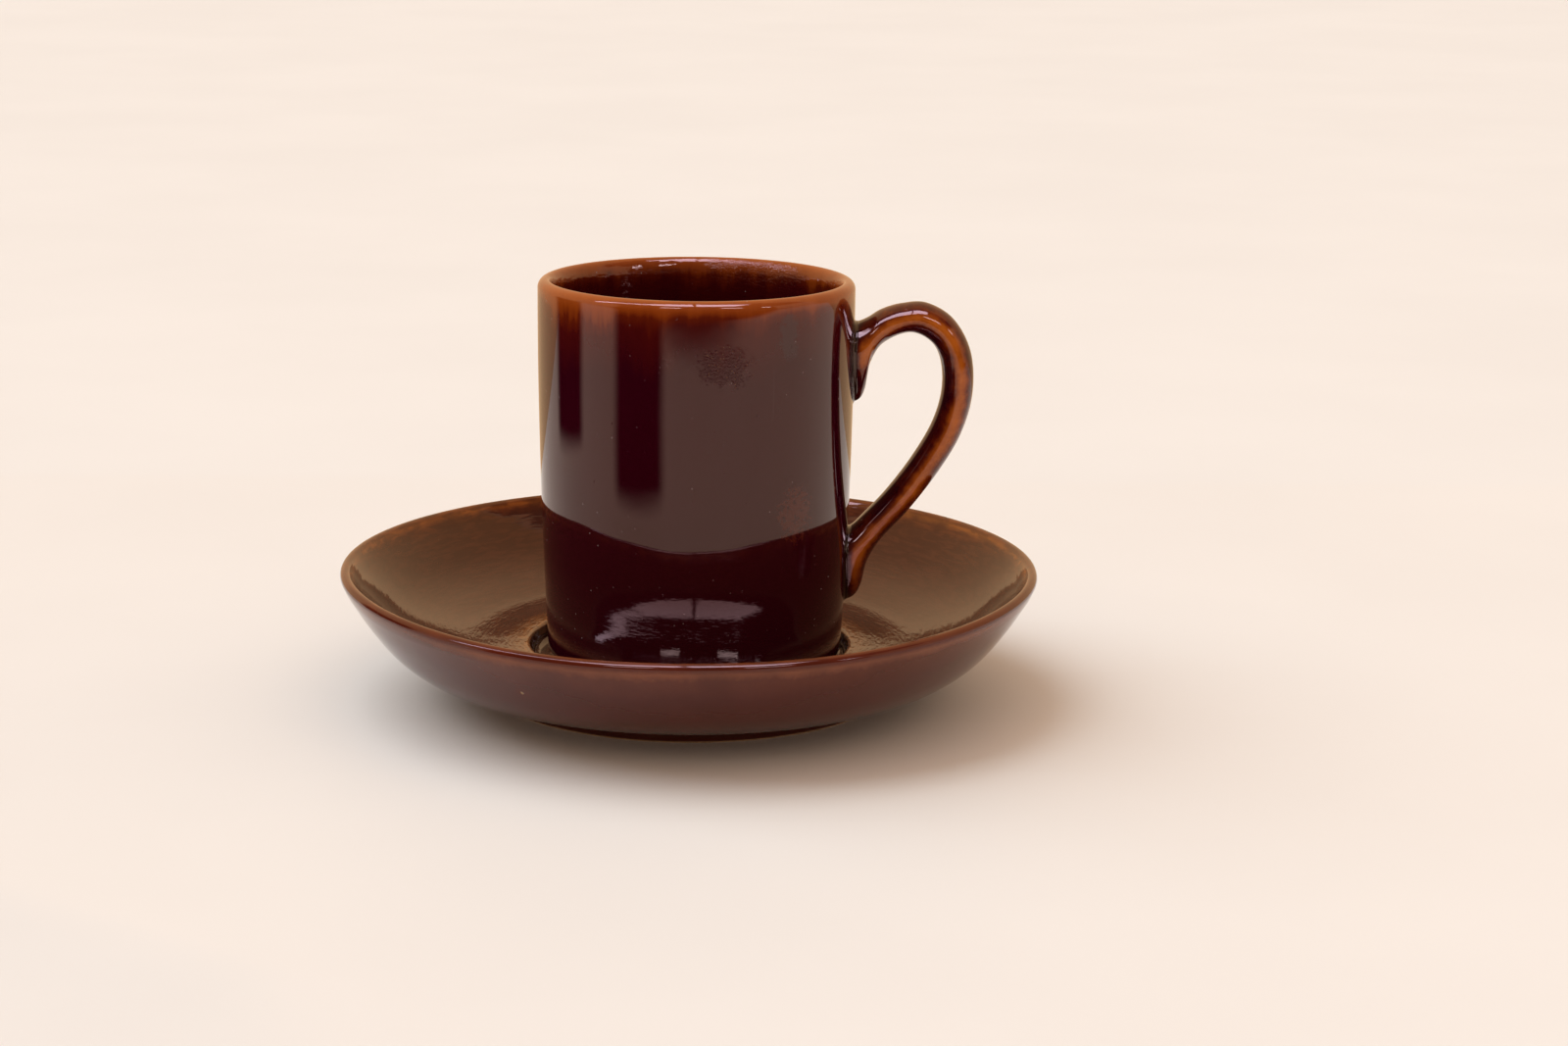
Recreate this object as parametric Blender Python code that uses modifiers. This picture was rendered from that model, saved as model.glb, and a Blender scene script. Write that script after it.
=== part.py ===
"""Demitasse coffee can with an ear-shaped handle, standing in the well of its own deep saucer.

Metres, +Z up. The origin is on the table under the centre of the saucer's foot ring, and the handle points along +X.
Every piece is one closed solid. Pieces that touch on the real object keep a gap of GAP here.
"""

import math

import bmesh
import bpy
from mathutils import Vector

MM = 0.001
GAP = 0.3 * MM

# Saucer, measured from its own axis
SAUCER_RIM_RADIUS = 69.35 * MM
SAUCER_HEIGHT = 25.5 * MM
SAUCER_LIP_RADIUS = 1.1 * MM
SAUCER_STEPS = 56
FOOT_OUTER_RADIUS = 40.0 * MM
FOOT_WIDTH = 3.0 * MM
FOOT_HEIGHT = 2.3 * MM
FOOT_CHAMFER = 0.5 * MM
WELL_WALL_RADIUS = 31.7 * MM
WELL_FLOOR = 6.0 * MM
WELL_EDGE_HEIGHT = 9.8 * MM
WELL_EDGE_ROUND = 0.9 * MM
WELL_FILLET = 2.0 * MM
# Outlines in millimetres (radius, height), joined by a smooth curve
DISH_OUTLINE = ((37.0, 9.9), (41.0, 10.1), (45.0, 10.7), (50.0, 12.2), (54.5, 13.9), (58.5, 16.1), (62.0, 19.0),
                (65.7, 22.7))
UNDERSIDE_OUTLINE = ((68.5, 22.3), (64.8, 16.6), (60.7, 11.4), (56.5, 7.9), (51.6, 5.4), (45.6, 3.3))
OUTLINE_STEPS = 2

# Cup, measured from its own axis, which stands a little towards the handle's side of the saucer's axis
CUP_OFFSET_X = 1.06 * MM
CUP_RADIUS = 31.2 * MM
CUP_TOP = 82.6 * MM
CUP_BASE = WELL_FLOOR + GAP
CUP_TAPER = 2.07 * MM
CUP_TAPER_POWER = 2.12
CUP_WALL = 3.4 * MM
CUP_LIP_RADIUS = CUP_WALL / 2
CUP_FLOOR_THICKNESS = 4.5 * MM
CUP_INNER_FILLET = 6.5 * MM
CUP_BASE_CORNER = 3.6 * MM
CUP_STAND_WIDTH = 3.2 * MM
CUP_BASE_RECESS = 1.2 * MM
CUP_STEPS = 48
MERGE_DISTANCE = 0.01 * MM

# Handle and the slip pads that fix it to the wall
SLIP_THICKNESS = 0.7 * MM
SLIP_MARGIN = 0.45 * MM
HANDLE_SIDES = 14
RINGS_PER_STATION = 3
UPPER_SLIP_SPAN = (50.0 * MM, 80.0 * MM)
LOWER_SLIP_SPAN = (14.0 * MM, 40.0 * MM)

# One line per station along the strap, from the upper joint round the bow to the lower joint, in millimetres:
# outer edge (x, z), inner edge (x, z), half width across, and how far the section narrows towards its inner edge
HANDLE_STATIONS = (
    ((27.0, 74.3), (27.0, 58.6), 5.6, 0.45),
    ((31.3, 74.7), (31.6, 58.9), 5.3, 0.42),
    ((33.7, 75.6), (33.3, 61.2), 5.0, 0.36),
    ((36.5, 77.3), (34.0, 65.9), 4.6, 0.24),
    ((40.5, 78.5), (36.5, 70.4), 4.3, 0.1),
    ((45.4, 78.6), (41.9, 72.8), 4.2, 0.0),
    ((50.7, 75.4), (46.3, 70.9), 4.2, 0.0),
    ((54.2, 68.9), (48.3, 66.9), 4.2, 0.0),
    ((54.7, 60.5), (48.5, 60.9), 4.2, 0.0),
    ((52.5, 52.3), (46.7, 54.5), 4.2, 0.0),
    ((48.0, 44.4), (42.9, 47.7), 4.2, 0.0),
    ((42.3, 36.8), (38.1, 41.1), 4.2, 0.0),
    ((37.1, 31.0), (33.7, 36.2), 4.3, -0.08),
    ((34.4, 26.4), (31.0, 33.5), 4.7, -0.25),
    ((33.2, 21.6), (28.8, 32.7), 5.0, -0.4),
    ((31.4, 18.9), (27.3, 32.5), 5.1, -0.43),
    ((27.0, 17.6), (24.8, 32.3), 5.2, -0.45),
)

GLAZE_BROWN = (0.045, 0.010, 0.008, 1.0)
GLAZE_AMBER = (0.16, 0.045, 0.014, 1.0)
GLAZE_SATIN = (0.105, 0.042, 0.026, 1.0)
SLIP_DARK = (0.03, 0.014, 0.010, 1.0)


def clear_scene():
    for obj in list(bpy.data.objects):
        bpy.data.objects.remove(obj)


def new_collection(name):
    collection = bpy.data.collections.new(name)
    bpy.context.scene.collection.children.link(collection)
    return collection


def glaze(name, colour, roughness):
    material = bpy.data.materials.new(name)
    material.use_nodes = True
    shader = material.node_tree.nodes["Principled BSDF"]
    shader.inputs["Base Color"].default_value = colour
    shader.inputs["Roughness"].default_value = roughness
    shader.inputs["Metallic"].default_value = 0.0
    return material


def arc(centre, radius, start_deg, end_deg, count):
    """Points of a round stretch in the profile plane, both ends included."""
    points = []
    for i in range(count):
        angle = math.radians(start_deg + (end_deg - start_deg) * i / (count - 1))
        x = centre[0] + radius * math.cos(angle)
        points.append((x, centre[1] + radius * math.sin(angle)))
    return points


def smooth(points, per_span):
    """A Catmull-Rom curve through the points, with per_span steps from each point to the next."""
    rows = [Vector(p) for p in points]
    rows = [rows[0] * 2 - rows[1], *rows, rows[-1] * 2 - rows[-2]]
    result = []
    for a, b, c, d in zip(rows, rows[1:], rows[2:], rows[3:]):
        for i in range(per_span):
            t = i / per_span
            linear = (c - a) * t
            square = (a * 2 - b * 5 + c * 4 - d) * t * t
            cube = (b * 3 - a - c * 3 + d) * t ** 3
            result.append(tuple(b + (linear + square + cube) * 0.5))
    result.append(tuple(rows[-2]))
    return result


def turned(name, profile, steps, collection, axis_x=0.0):
    """A solid turned about a vertical axis from a profile that starts and ends on that axis."""
    mesh = bpy.data.meshes.new(name)
    edges = [(i, i + 1) for i in range(len(profile) - 1)]
    mesh.from_pydata([(x, 0.0, z) for x, z in profile], edges, [])
    obj = bpy.data.objects.new(name, mesh)
    collection.objects.link(obj)
    obj.location.x = axis_x
    screw = obj.modifiers.new("Turn", "SCREW")
    screw.axis = "Z"
    screw.steps = steps
    screw.render_steps = steps
    screw.use_merge_vertices = True
    screw.merge_threshold = MERGE_DISTANCE
    screw.use_smooth_shade = True
    return obj


def saucer_top_profile():
    """The saucer's upper surface, from the middle of the well out to the lip."""
    fillet_centre = (WELL_WALL_RADIUS - WELL_FILLET, WELL_FLOOR + WELL_FILLET)
    edge_centre = (WELL_WALL_RADIUS + WELL_EDGE_ROUND, WELL_EDGE_HEIGHT - WELL_EDGE_ROUND)
    points = [(0.0, WELL_FLOOR)]
    points += arc(fillet_centre, WELL_FILLET, -90, 0, 4)
    points += arc(edge_centre, WELL_EDGE_ROUND, 180, 90, 4)
    points += smooth([(x * MM, z * MM) for x, z in DISH_OUTLINE], OUTLINE_STEPS)
    return points


def saucer_under_profile():
    """The saucer's outside, from under the lip down to the foot ring and in to the middle."""
    inner_radius = FOOT_OUTER_RADIUS - FOOT_WIDTH
    points = smooth([(x * MM, z * MM) for x, z in UNDERSIDE_OUTLINE], OUTLINE_STEPS)
    points.append((FOOT_OUTER_RADIUS + FOOT_CHAMFER, FOOT_HEIGHT))
    points.append((FOOT_OUTER_RADIUS, FOOT_CHAMFER))
    points.append((FOOT_OUTER_RADIUS - FOOT_CHAMFER, 0.0))
    points.append((inner_radius + FOOT_CHAMFER, 0.0))
    points.append((inner_radius, FOOT_CHAMFER))
    points.append((inner_radius - FOOT_CHAMFER, FOOT_HEIGHT))
    points.append((0.0, FOOT_HEIGHT))
    return points


def make_saucer(collection):
    lip_centre = (SAUCER_RIM_RADIUS - SAUCER_LIP_RADIUS, SAUCER_HEIGHT - SAUCER_LIP_RADIUS)
    profile = saucer_top_profile()
    profile += arc(lip_centre, SAUCER_LIP_RADIUS, 150, -20, 6)
    profile += saucer_under_profile()
    return turned("saucer", profile, SAUCER_STEPS, collection)


def cup_radius(z):
    """Outside radius of the can, which is straight at the lip and draws in towards the base."""
    depth = (CUP_TOP - z) / (CUP_TOP - CUP_BASE)
    return CUP_RADIUS - CUP_TAPER * depth ** CUP_TAPER_POWER


def wall_heights(top, bottom, count):
    return [top + (bottom - top) * i / (count - 1) for i in range(count)]


def cup_inside_profile():
    """From the middle of the floor out through the fillet and up the wall to just under the lip."""
    floor = CUP_BASE + CUP_FLOOR_THICKNESS
    fillet_top = floor + CUP_INNER_FILLET
    fillet_x = cup_radius(fillet_top) - CUP_WALL - CUP_INNER_FILLET
    points = [(0.0, floor)]
    points += arc((fillet_x, fillet_top), CUP_INNER_FILLET, -90, 0, 5)
    for z in wall_heights(fillet_top, CUP_TOP - CUP_LIP_RADIUS, 5)[1:-1]:
        points.append((cup_radius(z) - CUP_WALL, z))
    return points


def cup_outside_profile():
    """From just under the lip down the wall, round the base corner and in under the recess."""
    corner_top = CUP_BASE + CUP_BASE_CORNER
    corner_x = cup_radius(corner_top) - CUP_BASE_CORNER
    stand_x = corner_x - CUP_STAND_WIDTH
    points = []
    for z in wall_heights(CUP_TOP - CUP_LIP_RADIUS, corner_top, 7)[1:-1]:
        points.append((cup_radius(z), z))
    points += arc((corner_x, corner_top), CUP_BASE_CORNER, 0, -90, 5)
    points.append((stand_x, CUP_BASE))
    points.append((stand_x - CUP_BASE_RECESS, CUP_BASE + CUP_BASE_RECESS))
    points.append((0.0, CUP_BASE + CUP_BASE_RECESS))
    return points


def make_cup_body(collection):
    lip_centre = (CUP_RADIUS - CUP_LIP_RADIUS, CUP_TOP - CUP_LIP_RADIUS)
    profile = cup_inside_profile()
    profile += arc(lip_centre, CUP_LIP_RADIUS, 180, 0, 7)
    profile += cup_outside_profile()
    return turned("cup_body", profile, CUP_STEPS, collection, CUP_OFFSET_X)


def blend_rows(rows, per_span):
    """The same Catmull-Rom rule as smooth(), on rows of any length."""
    pairs = [smooth([row[i:i + 2] for row in rows], per_span) for i in range(0, len(rows[0]), 2)]
    return [sum(parts, ()) for parts in zip(*pairs)]


def section_ring(station, margin):
    """One egg-shaped section of the strap. It lies across the line from the outer to the inner edge."""
    outer_x, outer_z, inner_x, inner_z, half_width, narrowing = station
    outer = Vector((outer_x * MM, outer_z * MM))
    inner = Vector((inner_x * MM, inner_z * MM))
    middle = (outer + inner) / 2
    half = (inner - outer) / 2
    half += half.normalized() * margin
    ring = []
    for i in range(HANDLE_SIDES):
        angle = 2 * math.pi * i / HANDLE_SIDES
        along = math.cos(angle)
        across = math.sin(angle) * (1 - narrowing * along)
        point = middle + half * along
        y = (half_width * MM + margin) * across
        ring.append((CUP_OFFSET_X + point.x, y, point.y))
    return ring


def strap_form(name, collection, margin=0.0):
    """The whole ear, lofted through its stations, with both ends running on into the cup's wall."""
    flat = [(*outer, *inner, width, taper) for outer, inner, width, taper in HANDLE_STATIONS]
    mesh = bpy.data.meshes.new(name)
    shape = bmesh.new()
    rings = []
    for station in blend_rows(flat, RINGS_PER_STATION):
        rings.append([shape.verts.new(co) for co in section_ring(station, margin)])
    for ring, following in zip(rings, rings[1:]):
        for i in range(HANDLE_SIDES):
            j = (i + 1) % HANDLE_SIDES
            shape.faces.new((ring[i], ring[j], following[j], following[i]))
    shape.faces.new(rings[0])
    shape.faces.new(rings[-1])
    bmesh.ops.recalc_face_normals(shape, faces=shape.faces)
    shape.to_mesh(mesh)
    shape.free()
    mesh.shade_smooth()
    obj = bpy.data.objects.new(name, mesh)
    collection.objects.link(obj)
    return obj


def wall_band(name, inner_gap, outer_gap, span, collection):
    """A turned band that follows the cup's outside between two distances from it."""
    low, high = span
    heights = wall_heights(high, low, 7)
    mesh = bpy.data.meshes.new(name)
    outside = [(cup_radius(z) + outer_gap, z) for z in heights]
    inside = [(cup_radius(z) + inner_gap, z) for z in reversed(heights)]
    points = [(x, 0.0, z) for x, z in outside + inside]
    count = len(points)
    mesh.from_pydata(points, [(i, (i + 1) % count) for i in range(count)], [])
    obj = bpy.data.objects.new(name, mesh)
    collection.objects.link(obj)
    obj.location.x = CUP_OFFSET_X
    screw = obj.modifiers.new("Turn", "SCREW")
    screw.steps = CUP_STEPS
    screw.render_steps = CUP_STEPS
    screw.use_merge_vertices = True
    screw.merge_threshold = MERGE_DISTANCE
    return obj


def cup_block(name, distance, collection):
    """A solid plug of the cup's outside, grown by a distance, for trimming the handle's ends."""
    heights = wall_heights(CUP_TOP + 2 * CUP_LIP_RADIUS, CUP_BASE, 12)
    side = [(cup_radius(min(z, CUP_TOP)) + distance, z) for z in heights]
    profile = [(0.0, heights[0]), *side, (0.0, heights[-1])]
    return turned(name, profile, CUP_STEPS, collection, CUP_OFFSET_X)


def hide_cutter(obj):
    obj.hide_render = True
    obj.display_type = "WIRE"


def add_boolean(obj, operation, cutter):
    modifier = obj.modifiers.new(cutter.name, "BOOLEAN")
    modifier.operation = operation
    modifier.solver = "EXACT"
    modifier.object = cutter


def make_handle(collection, cutters):
    handle = strap_form("handle", collection)
    block = cup_block("wall_clearance", GAP + SLIP_THICKNESS + GAP, cutters)
    add_boolean(handle, "DIFFERENCE", block)
    hide_cutter(block)
    return handle


def make_slip_pad(name, span, collection, cutters):
    """The slip squeezed out a little past the handle's end, lying against the wall."""
    pad = strap_form(name, collection, SLIP_MARGIN)
    band = wall_band(name + "_band", GAP, GAP + SLIP_THICKNESS, span, cutters)
    add_boolean(pad, "INTERSECT", band)
    hide_cutter(band)
    return pad


def build():
    clear_scene()
    parts = new_collection("coffee_cup_and_saucer")
    cutters = new_collection("cutters")
    saucer = make_saucer(parts)
    cup_body = make_cup_body(parts)
    handle = make_handle(parts, cutters)
    upper_slip = make_slip_pad("upper_handle_slip", UPPER_SLIP_SPAN, parts, cutters)
    lower_slip = make_slip_pad("lower_handle_slip", LOWER_SLIP_SPAN, parts, cutters)
    saucer.data.materials.append(glaze("saucer_glaze", GLAZE_SATIN, 0.28))
    cup_body.data.materials.append(glaze("cup_glaze", GLAZE_BROWN, 0.06))
    handle.data.materials.append(glaze("handle_glaze", GLAZE_AMBER, 0.08))
    upper_slip.data.materials.append(glaze("upper_slip", SLIP_DARK, 0.15))
    lower_slip.data.materials.append(glaze("lower_slip", SLIP_DARK, 0.15))


build()
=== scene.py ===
"""Looks of the demitasse cup and saucer: treacle-brown glaze over turned clay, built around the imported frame.

Metres, +Z up. The handle points along +X and the camera looks along +Y. Sizes written in millimetres are
multiplied by MM where they are used.
"""

import math

import bmesh
import bpy
import numpy as np
from mathutils import Matrix, Vector


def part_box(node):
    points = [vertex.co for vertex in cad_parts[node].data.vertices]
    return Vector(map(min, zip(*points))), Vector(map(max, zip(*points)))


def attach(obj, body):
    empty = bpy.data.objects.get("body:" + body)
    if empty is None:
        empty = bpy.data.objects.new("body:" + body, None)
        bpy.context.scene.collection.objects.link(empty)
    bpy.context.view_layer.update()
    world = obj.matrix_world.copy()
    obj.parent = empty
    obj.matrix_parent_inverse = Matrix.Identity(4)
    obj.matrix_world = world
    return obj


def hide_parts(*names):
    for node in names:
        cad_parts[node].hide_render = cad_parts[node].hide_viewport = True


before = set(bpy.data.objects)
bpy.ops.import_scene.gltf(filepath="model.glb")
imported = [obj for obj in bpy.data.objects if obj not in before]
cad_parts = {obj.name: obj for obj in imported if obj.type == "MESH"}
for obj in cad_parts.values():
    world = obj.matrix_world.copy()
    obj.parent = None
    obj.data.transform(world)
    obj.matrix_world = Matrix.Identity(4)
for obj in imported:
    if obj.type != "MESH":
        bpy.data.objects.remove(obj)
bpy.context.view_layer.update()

MM = 0.001

# ---------------------------------------------------------------- sizes taken from the frame
SAUCER_LOW, SAUCER_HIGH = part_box("saucer")
CUP_LOW, CUP_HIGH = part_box("cup_body")
SAUCER_RIM_RADIUS = (SAUCER_HIGH.x - SAUCER_LOW.x) / 2
SAUCER_HEIGHT = SAUCER_HIGH.z
CUP_X = (CUP_LOW.x + CUP_HIGH.x) / 2
CUP_RADIUS = (CUP_HIGH.x - CUP_LOW.x) / 2
CUP_BASE = CUP_LOW.z
CUP_TOP = CUP_HIGH.z

# ---------------------------------------------------------------- saucer outline
SAUCER_SEGMENTS = 288
SAUCER_LIP_RADIUS = 1.1 * MM
FOOT_OUTER_RADIUS = 40.0 * MM
FOOT_WIDTH = 3.0 * MM
FOOT_HEIGHT = 2.3 * MM
FOOT_ROUND = 0.7 * MM
WELL_WALL_RADIUS = 31.7 * MM
WELL_FLOOR = 6.0 * MM
WELL_EDGE_HEIGHT = 9.8 * MM
WELL_EDGE_ROUND = 0.9 * MM
WELL_FILLET = 2.0 * MM
# Radius and height along the dish, from the well out to the lip, and along the outside, from the lip in to
# the foot; millimetres
DISH_OUTLINE = ((37.0, 9.9), (41.0, 10.1), (45.0, 10.7), (50.0, 12.2), (54.5, 13.9), (58.5, 16.1),
                (62.0, 19.0), (65.7, 22.7))
UNDERSIDE_OUTLINE = ((68.5, 22.3), (64.8, 16.6), (60.7, 11.4), (56.5, 7.9), (51.6, 5.4), (45.6, 3.3))
# The rim sank a little at the front in the kiln: how far, from which radius out, and between which angles
# from the front it fades away
RIM_SAG = 1.9 * MM
SAG_START_RADIUS = 46.0 * MM
RIM_SAG_FROM, RIM_SAG_TO = 80.0, 10.0

# ---------------------------------------------------------------- cup outline
CUP_SEGMENTS = 256
CUP_TAPER = 2.07 * MM
CUP_TAPER_POWER = 2.12
CUP_WALL = 3.4 * MM
CUP_LIP_RADIUS = CUP_WALL / 2
CUP_LIP_SLOPE = 3.6 * MM
CUP_LIP_LEAN = 1.1 * MM
CUP_FLOOR_THICKNESS = 4.5 * MM
CUP_INNER_FILLET = 6.5 * MM
CUP_BASE_CORNER = 3.6 * MM
CUP_STAND_WIDTH = 3.2 * MM
CUP_BASE_RECESS = 1.2 * MM

# ---------------------------------------------------------------- handle
HANDLE_SIDES = 56
RINGS_PER_STATION = 12
# Outer edge (x, z), inner edge (x, z), half width across, narrowing towards the inner edge; millimetres from
# the cup's axis and from the table, from the upper joint round the bow to the lower joint
HANDLE_STATIONS = (
    (27.0, 74.3, 27.0, 58.6, 5.6, 0.45),
    (31.3, 74.7, 31.6, 58.9, 5.3, 0.42),
    (33.7, 75.6, 33.3, 61.2, 5.0, 0.36),
    (36.5, 77.3, 34.0, 65.9, 4.6, 0.24),
    (40.5, 78.5, 36.5, 70.4, 4.3, 0.10),
    (45.4, 78.6, 41.9, 72.8, 4.2, 0.0),
    (50.7, 75.4, 46.3, 70.9, 4.2, 0.0),
    (54.2, 68.9, 48.3, 66.9, 4.2, 0.0),
    (54.7, 60.5, 48.5, 60.9, 4.2, 0.0),
    (52.5, 52.3, 46.7, 54.5, 4.2, 0.0),
    (48.0, 44.4, 42.9, 47.7, 4.2, 0.0),
    (42.3, 36.8, 38.1, 41.1, 4.2, 0.0),
    (37.1, 31.0, 33.7, 36.2, 4.3, -0.08),
    (34.4, 26.4, 31.0, 33.5, 4.7, -0.25),
    (33.2, 21.6, 28.8, 32.7, 5.0, -0.40),
    (31.4, 18.9, 27.3, 32.5, 5.1, -0.43),
    (27.0, 17.6, 24.8, 32.3, 5.2, -0.45),
)
# The glaze is thinnest along a line on each side, at an angle from the inner edge; degrees
CREST_ANGLE = 98.0
CREST_SPREAD = 27.0
FILLET_ON_HANDLE = 0.9 * MM
FILLET_ON_WALL = 0.8 * MM
FILLET_BURIED = 0.5 * MM
FILLET_STEPS = 8

# ---------------------------------------------------------------- marks of making and use
# On the cup's wall: distance round from the front towards the handle, height, half width, half height;
# millimetres. The drip's are its distance round, the height of its end, half its width and its length.
SMUDGE = (6.1, 71.3, 5.2, 4.0)
SCUFF = (18.9, 76.5, 2.2, 4.4)
RUST_SMEAR = (21.5, 41.0, 4.0, 5.0)
DRIP = (14.3, 61.2, 1.35, 14.0)
# Thin crackled glaze on the back of the inner lip: distances across, distances back and depths below the lip
# between which it fades in and out; millimetres
CRAZED_ACROSS = (1.0, 4.0, 19.0, 23.0)
CRAZED_BACK = (5.0, 15.0)
CRAZED_DEPTH = (3.5, 5.0)
# Where the stains are on the saucer's outside, its radius is about this
SAUCER_MID_RADIUS = 60.0 * MM
# Degrees round from the front, then height, half width and half height in millimetres, degrees of tilt, and 1
# where there is a pinhole in the middle
STAINS = (
    (-28.6, 14.6, 2.0, 1.4, 0.0, 1.0),
    (-36.4, 9.8, 0.7, 0.5, 0.0, 0.0),
    (43.1, 15.0, 1.9, 0.55, 18.0, 0.0),
    (35.4, 11.6, 1.9, 0.35, -5.0, 0.0),
)


# ================================================================ outlines
def step(low, high, value):
    """0 up to low, 1 from high on, and a soft step between them."""
    t = np.clip((value - low) / (high - low), 0.0, 1.0)
    return t * t * (3 - 2 * t)


def arc(centre, radius, start_deg, end_deg, count):
    """Points of a round stretch in the profile plane, both ends included."""
    angles = np.radians(np.linspace(start_deg, end_deg, count))
    return [(centre[0] + radius * math.cos(a), centre[1] + radius * math.sin(a)) for a in angles]


def smooth(rows, per_span):
    """A Catmull-Rom curve through rows of numbers, with per_span steps from each row to the next."""
    rows = np.array(rows, dtype=float)
    rows = np.vstack([rows[0] * 2 - rows[1], rows, rows[-1] * 2 - rows[-2]])
    result = []
    for a, b, c, d in zip(rows, rows[1:], rows[2:], rows[3:]):
        for t in np.arange(per_span) / per_span:
            square = (a * 2 - b * 5 + c * 4 - d) * t * t
            cube = (b * 3 - a - c * 3 + d) * t ** 3
            result.append(b + ((c - a) * t + square + cube) * 0.5)
    result.append(rows[-2])
    return np.array(result)


def straight(start, end, count):
    """Points between two ends, the ends left out."""
    steps = np.linspace(0.0, 1.0, count + 2)[1:-1]
    return [(start[0] + (end[0] - start[0]) * t, start[1] + (end[1] - start[1]) * t) for t in steps]


def cup_radius(z):
    """Outside radius of the can, straight at the lip and drawn in towards the base."""
    depth = np.clip((CUP_TOP - z) / (CUP_TOP - CUP_BASE), 0.0, 1.0)
    return CUP_RADIUS - CUP_TAPER * depth ** CUP_TAPER_POWER


def saucer_profile():
    """From the middle of the well over the dish and the lip, down the outside and in under the foot ring."""
    fillet_centre = (WELL_WALL_RADIUS - WELL_FILLET, WELL_FLOOR + WELL_FILLET)
    edge_centre = (WELL_WALL_RADIUS + WELL_EDGE_ROUND, WELL_EDGE_HEIGHT - WELL_EDGE_ROUND)
    lip_centre = (SAUCER_RIM_RADIUS - SAUCER_LIP_RADIUS, SAUCER_HEIGHT - SAUCER_LIP_RADIUS)
    foot_inner = FOOT_OUTER_RADIUS - FOOT_WIDTH
    points = [(0.0, WELL_FLOOR)]
    points += straight((0.0, WELL_FLOOR), (fillet_centre[0], WELL_FLOOR), 8)
    points += arc(fillet_centre, WELL_FILLET, -90, 0, 9)
    points += arc(edge_centre, WELL_EDGE_ROUND, 180, 90, 10)
    points += [tuple(p * MM) for p in smooth(DISH_OUTLINE, 9)]
    points += arc(lip_centre, SAUCER_LIP_RADIUS, 150, -20, 14)
    points += [tuple(p * MM) for p in smooth(UNDERSIDE_OUTLINE, 8)]
    points.append((FOOT_OUTER_RADIUS + FOOT_ROUND, FOOT_HEIGHT))
    points += arc((FOOT_OUTER_RADIUS - FOOT_ROUND, FOOT_ROUND), FOOT_ROUND, 0, -90, 5)
    points += arc((foot_inner + FOOT_ROUND, FOOT_ROUND), FOOT_ROUND, -90, -180, 5)
    points += arc((foot_inner - FOOT_ROUND, FOOT_HEIGHT - FOOT_ROUND), FOOT_ROUND, 0, 90, 5)
    points += straight((foot_inner, FOOT_HEIGHT), (0.0, FOOT_HEIGHT), 8)
    points.append((0.0, FOOT_HEIGHT))
    return np.array(points)


def cup_profile():
    """From the middle of the inside floor up the wall, over the lip, down the outside and under the base."""
    floor = CUP_BASE + CUP_FLOOR_THICKNESS
    fillet_top = floor + CUP_INNER_FILLET
    fillet_x = cup_radius(fillet_top) - CUP_WALL - CUP_INNER_FILLET
    lip_z = CUP_TOP - CUP_LIP_RADIUS
    corner_top = CUP_BASE + CUP_BASE_CORNER
    corner_x = cup_radius(corner_top) - CUP_BASE_CORNER
    stand_x = corner_x - CUP_STAND_WIDTH
    recess_z = CUP_BASE + CUP_BASE_RECESS
    points = [(0.0, floor)]
    points += straight((0.0, floor), (fillet_x, floor), 6)
    points += arc((fillet_x, fillet_top), CUP_INNER_FILLET, -90, 0, 12)
    slope_z = CUP_TOP - CUP_LIP_SLOPE
    points += [(cup_radius(z) - CUP_WALL, z) for z in np.linspace(fillet_top, slope_z, 24)[1:-1]]
    for x, z in arc((0.0, 0.0), 1.0, 180, 90, 14)[:-1]:
        points.append((CUP_RADIUS - CUP_LIP_RADIUS + x * CUP_LIP_RADIUS, slope_z + z * CUP_LIP_SLOPE))
    points += arc((CUP_RADIUS - CUP_LIP_RADIUS, lip_z), CUP_LIP_RADIUS, 90, 0, 11)
    points += [(cup_radius(z), z) for z in np.linspace(lip_z, corner_top, 44)[1:-1]]
    points += arc((corner_x, corner_top), CUP_BASE_CORNER, 0, -90, 12)
    points += straight((corner_x, CUP_BASE), (stand_x, CUP_BASE), 3)
    points += arc((stand_x, recess_z), CUP_BASE_RECESS, -90, -180, 6)
    points += straight((stand_x - CUP_BASE_RECESS, recess_z), (0.0, recess_z), 6)
    points.append((0.0, recess_z))
    return np.array(points)


# ================================================================ meshes
def new_object(name, verts, faces):
    mesh = bpy.data.meshes.new(name)
    mesh.from_pydata([tuple(v) for v in verts], [], faces)
    mesh.validate()
    mesh.shade_smooth()
    obj = bpy.data.objects.new(name, mesh)
    bpy.context.scene.collection.objects.link(obj)
    return obj


def add_attribute(obj, name, values):
    layer = obj.data.attributes.new(name, "FLOAT", "POINT")
    layer.data.foreach_set("value", np.asarray(values, dtype=np.float32))


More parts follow.
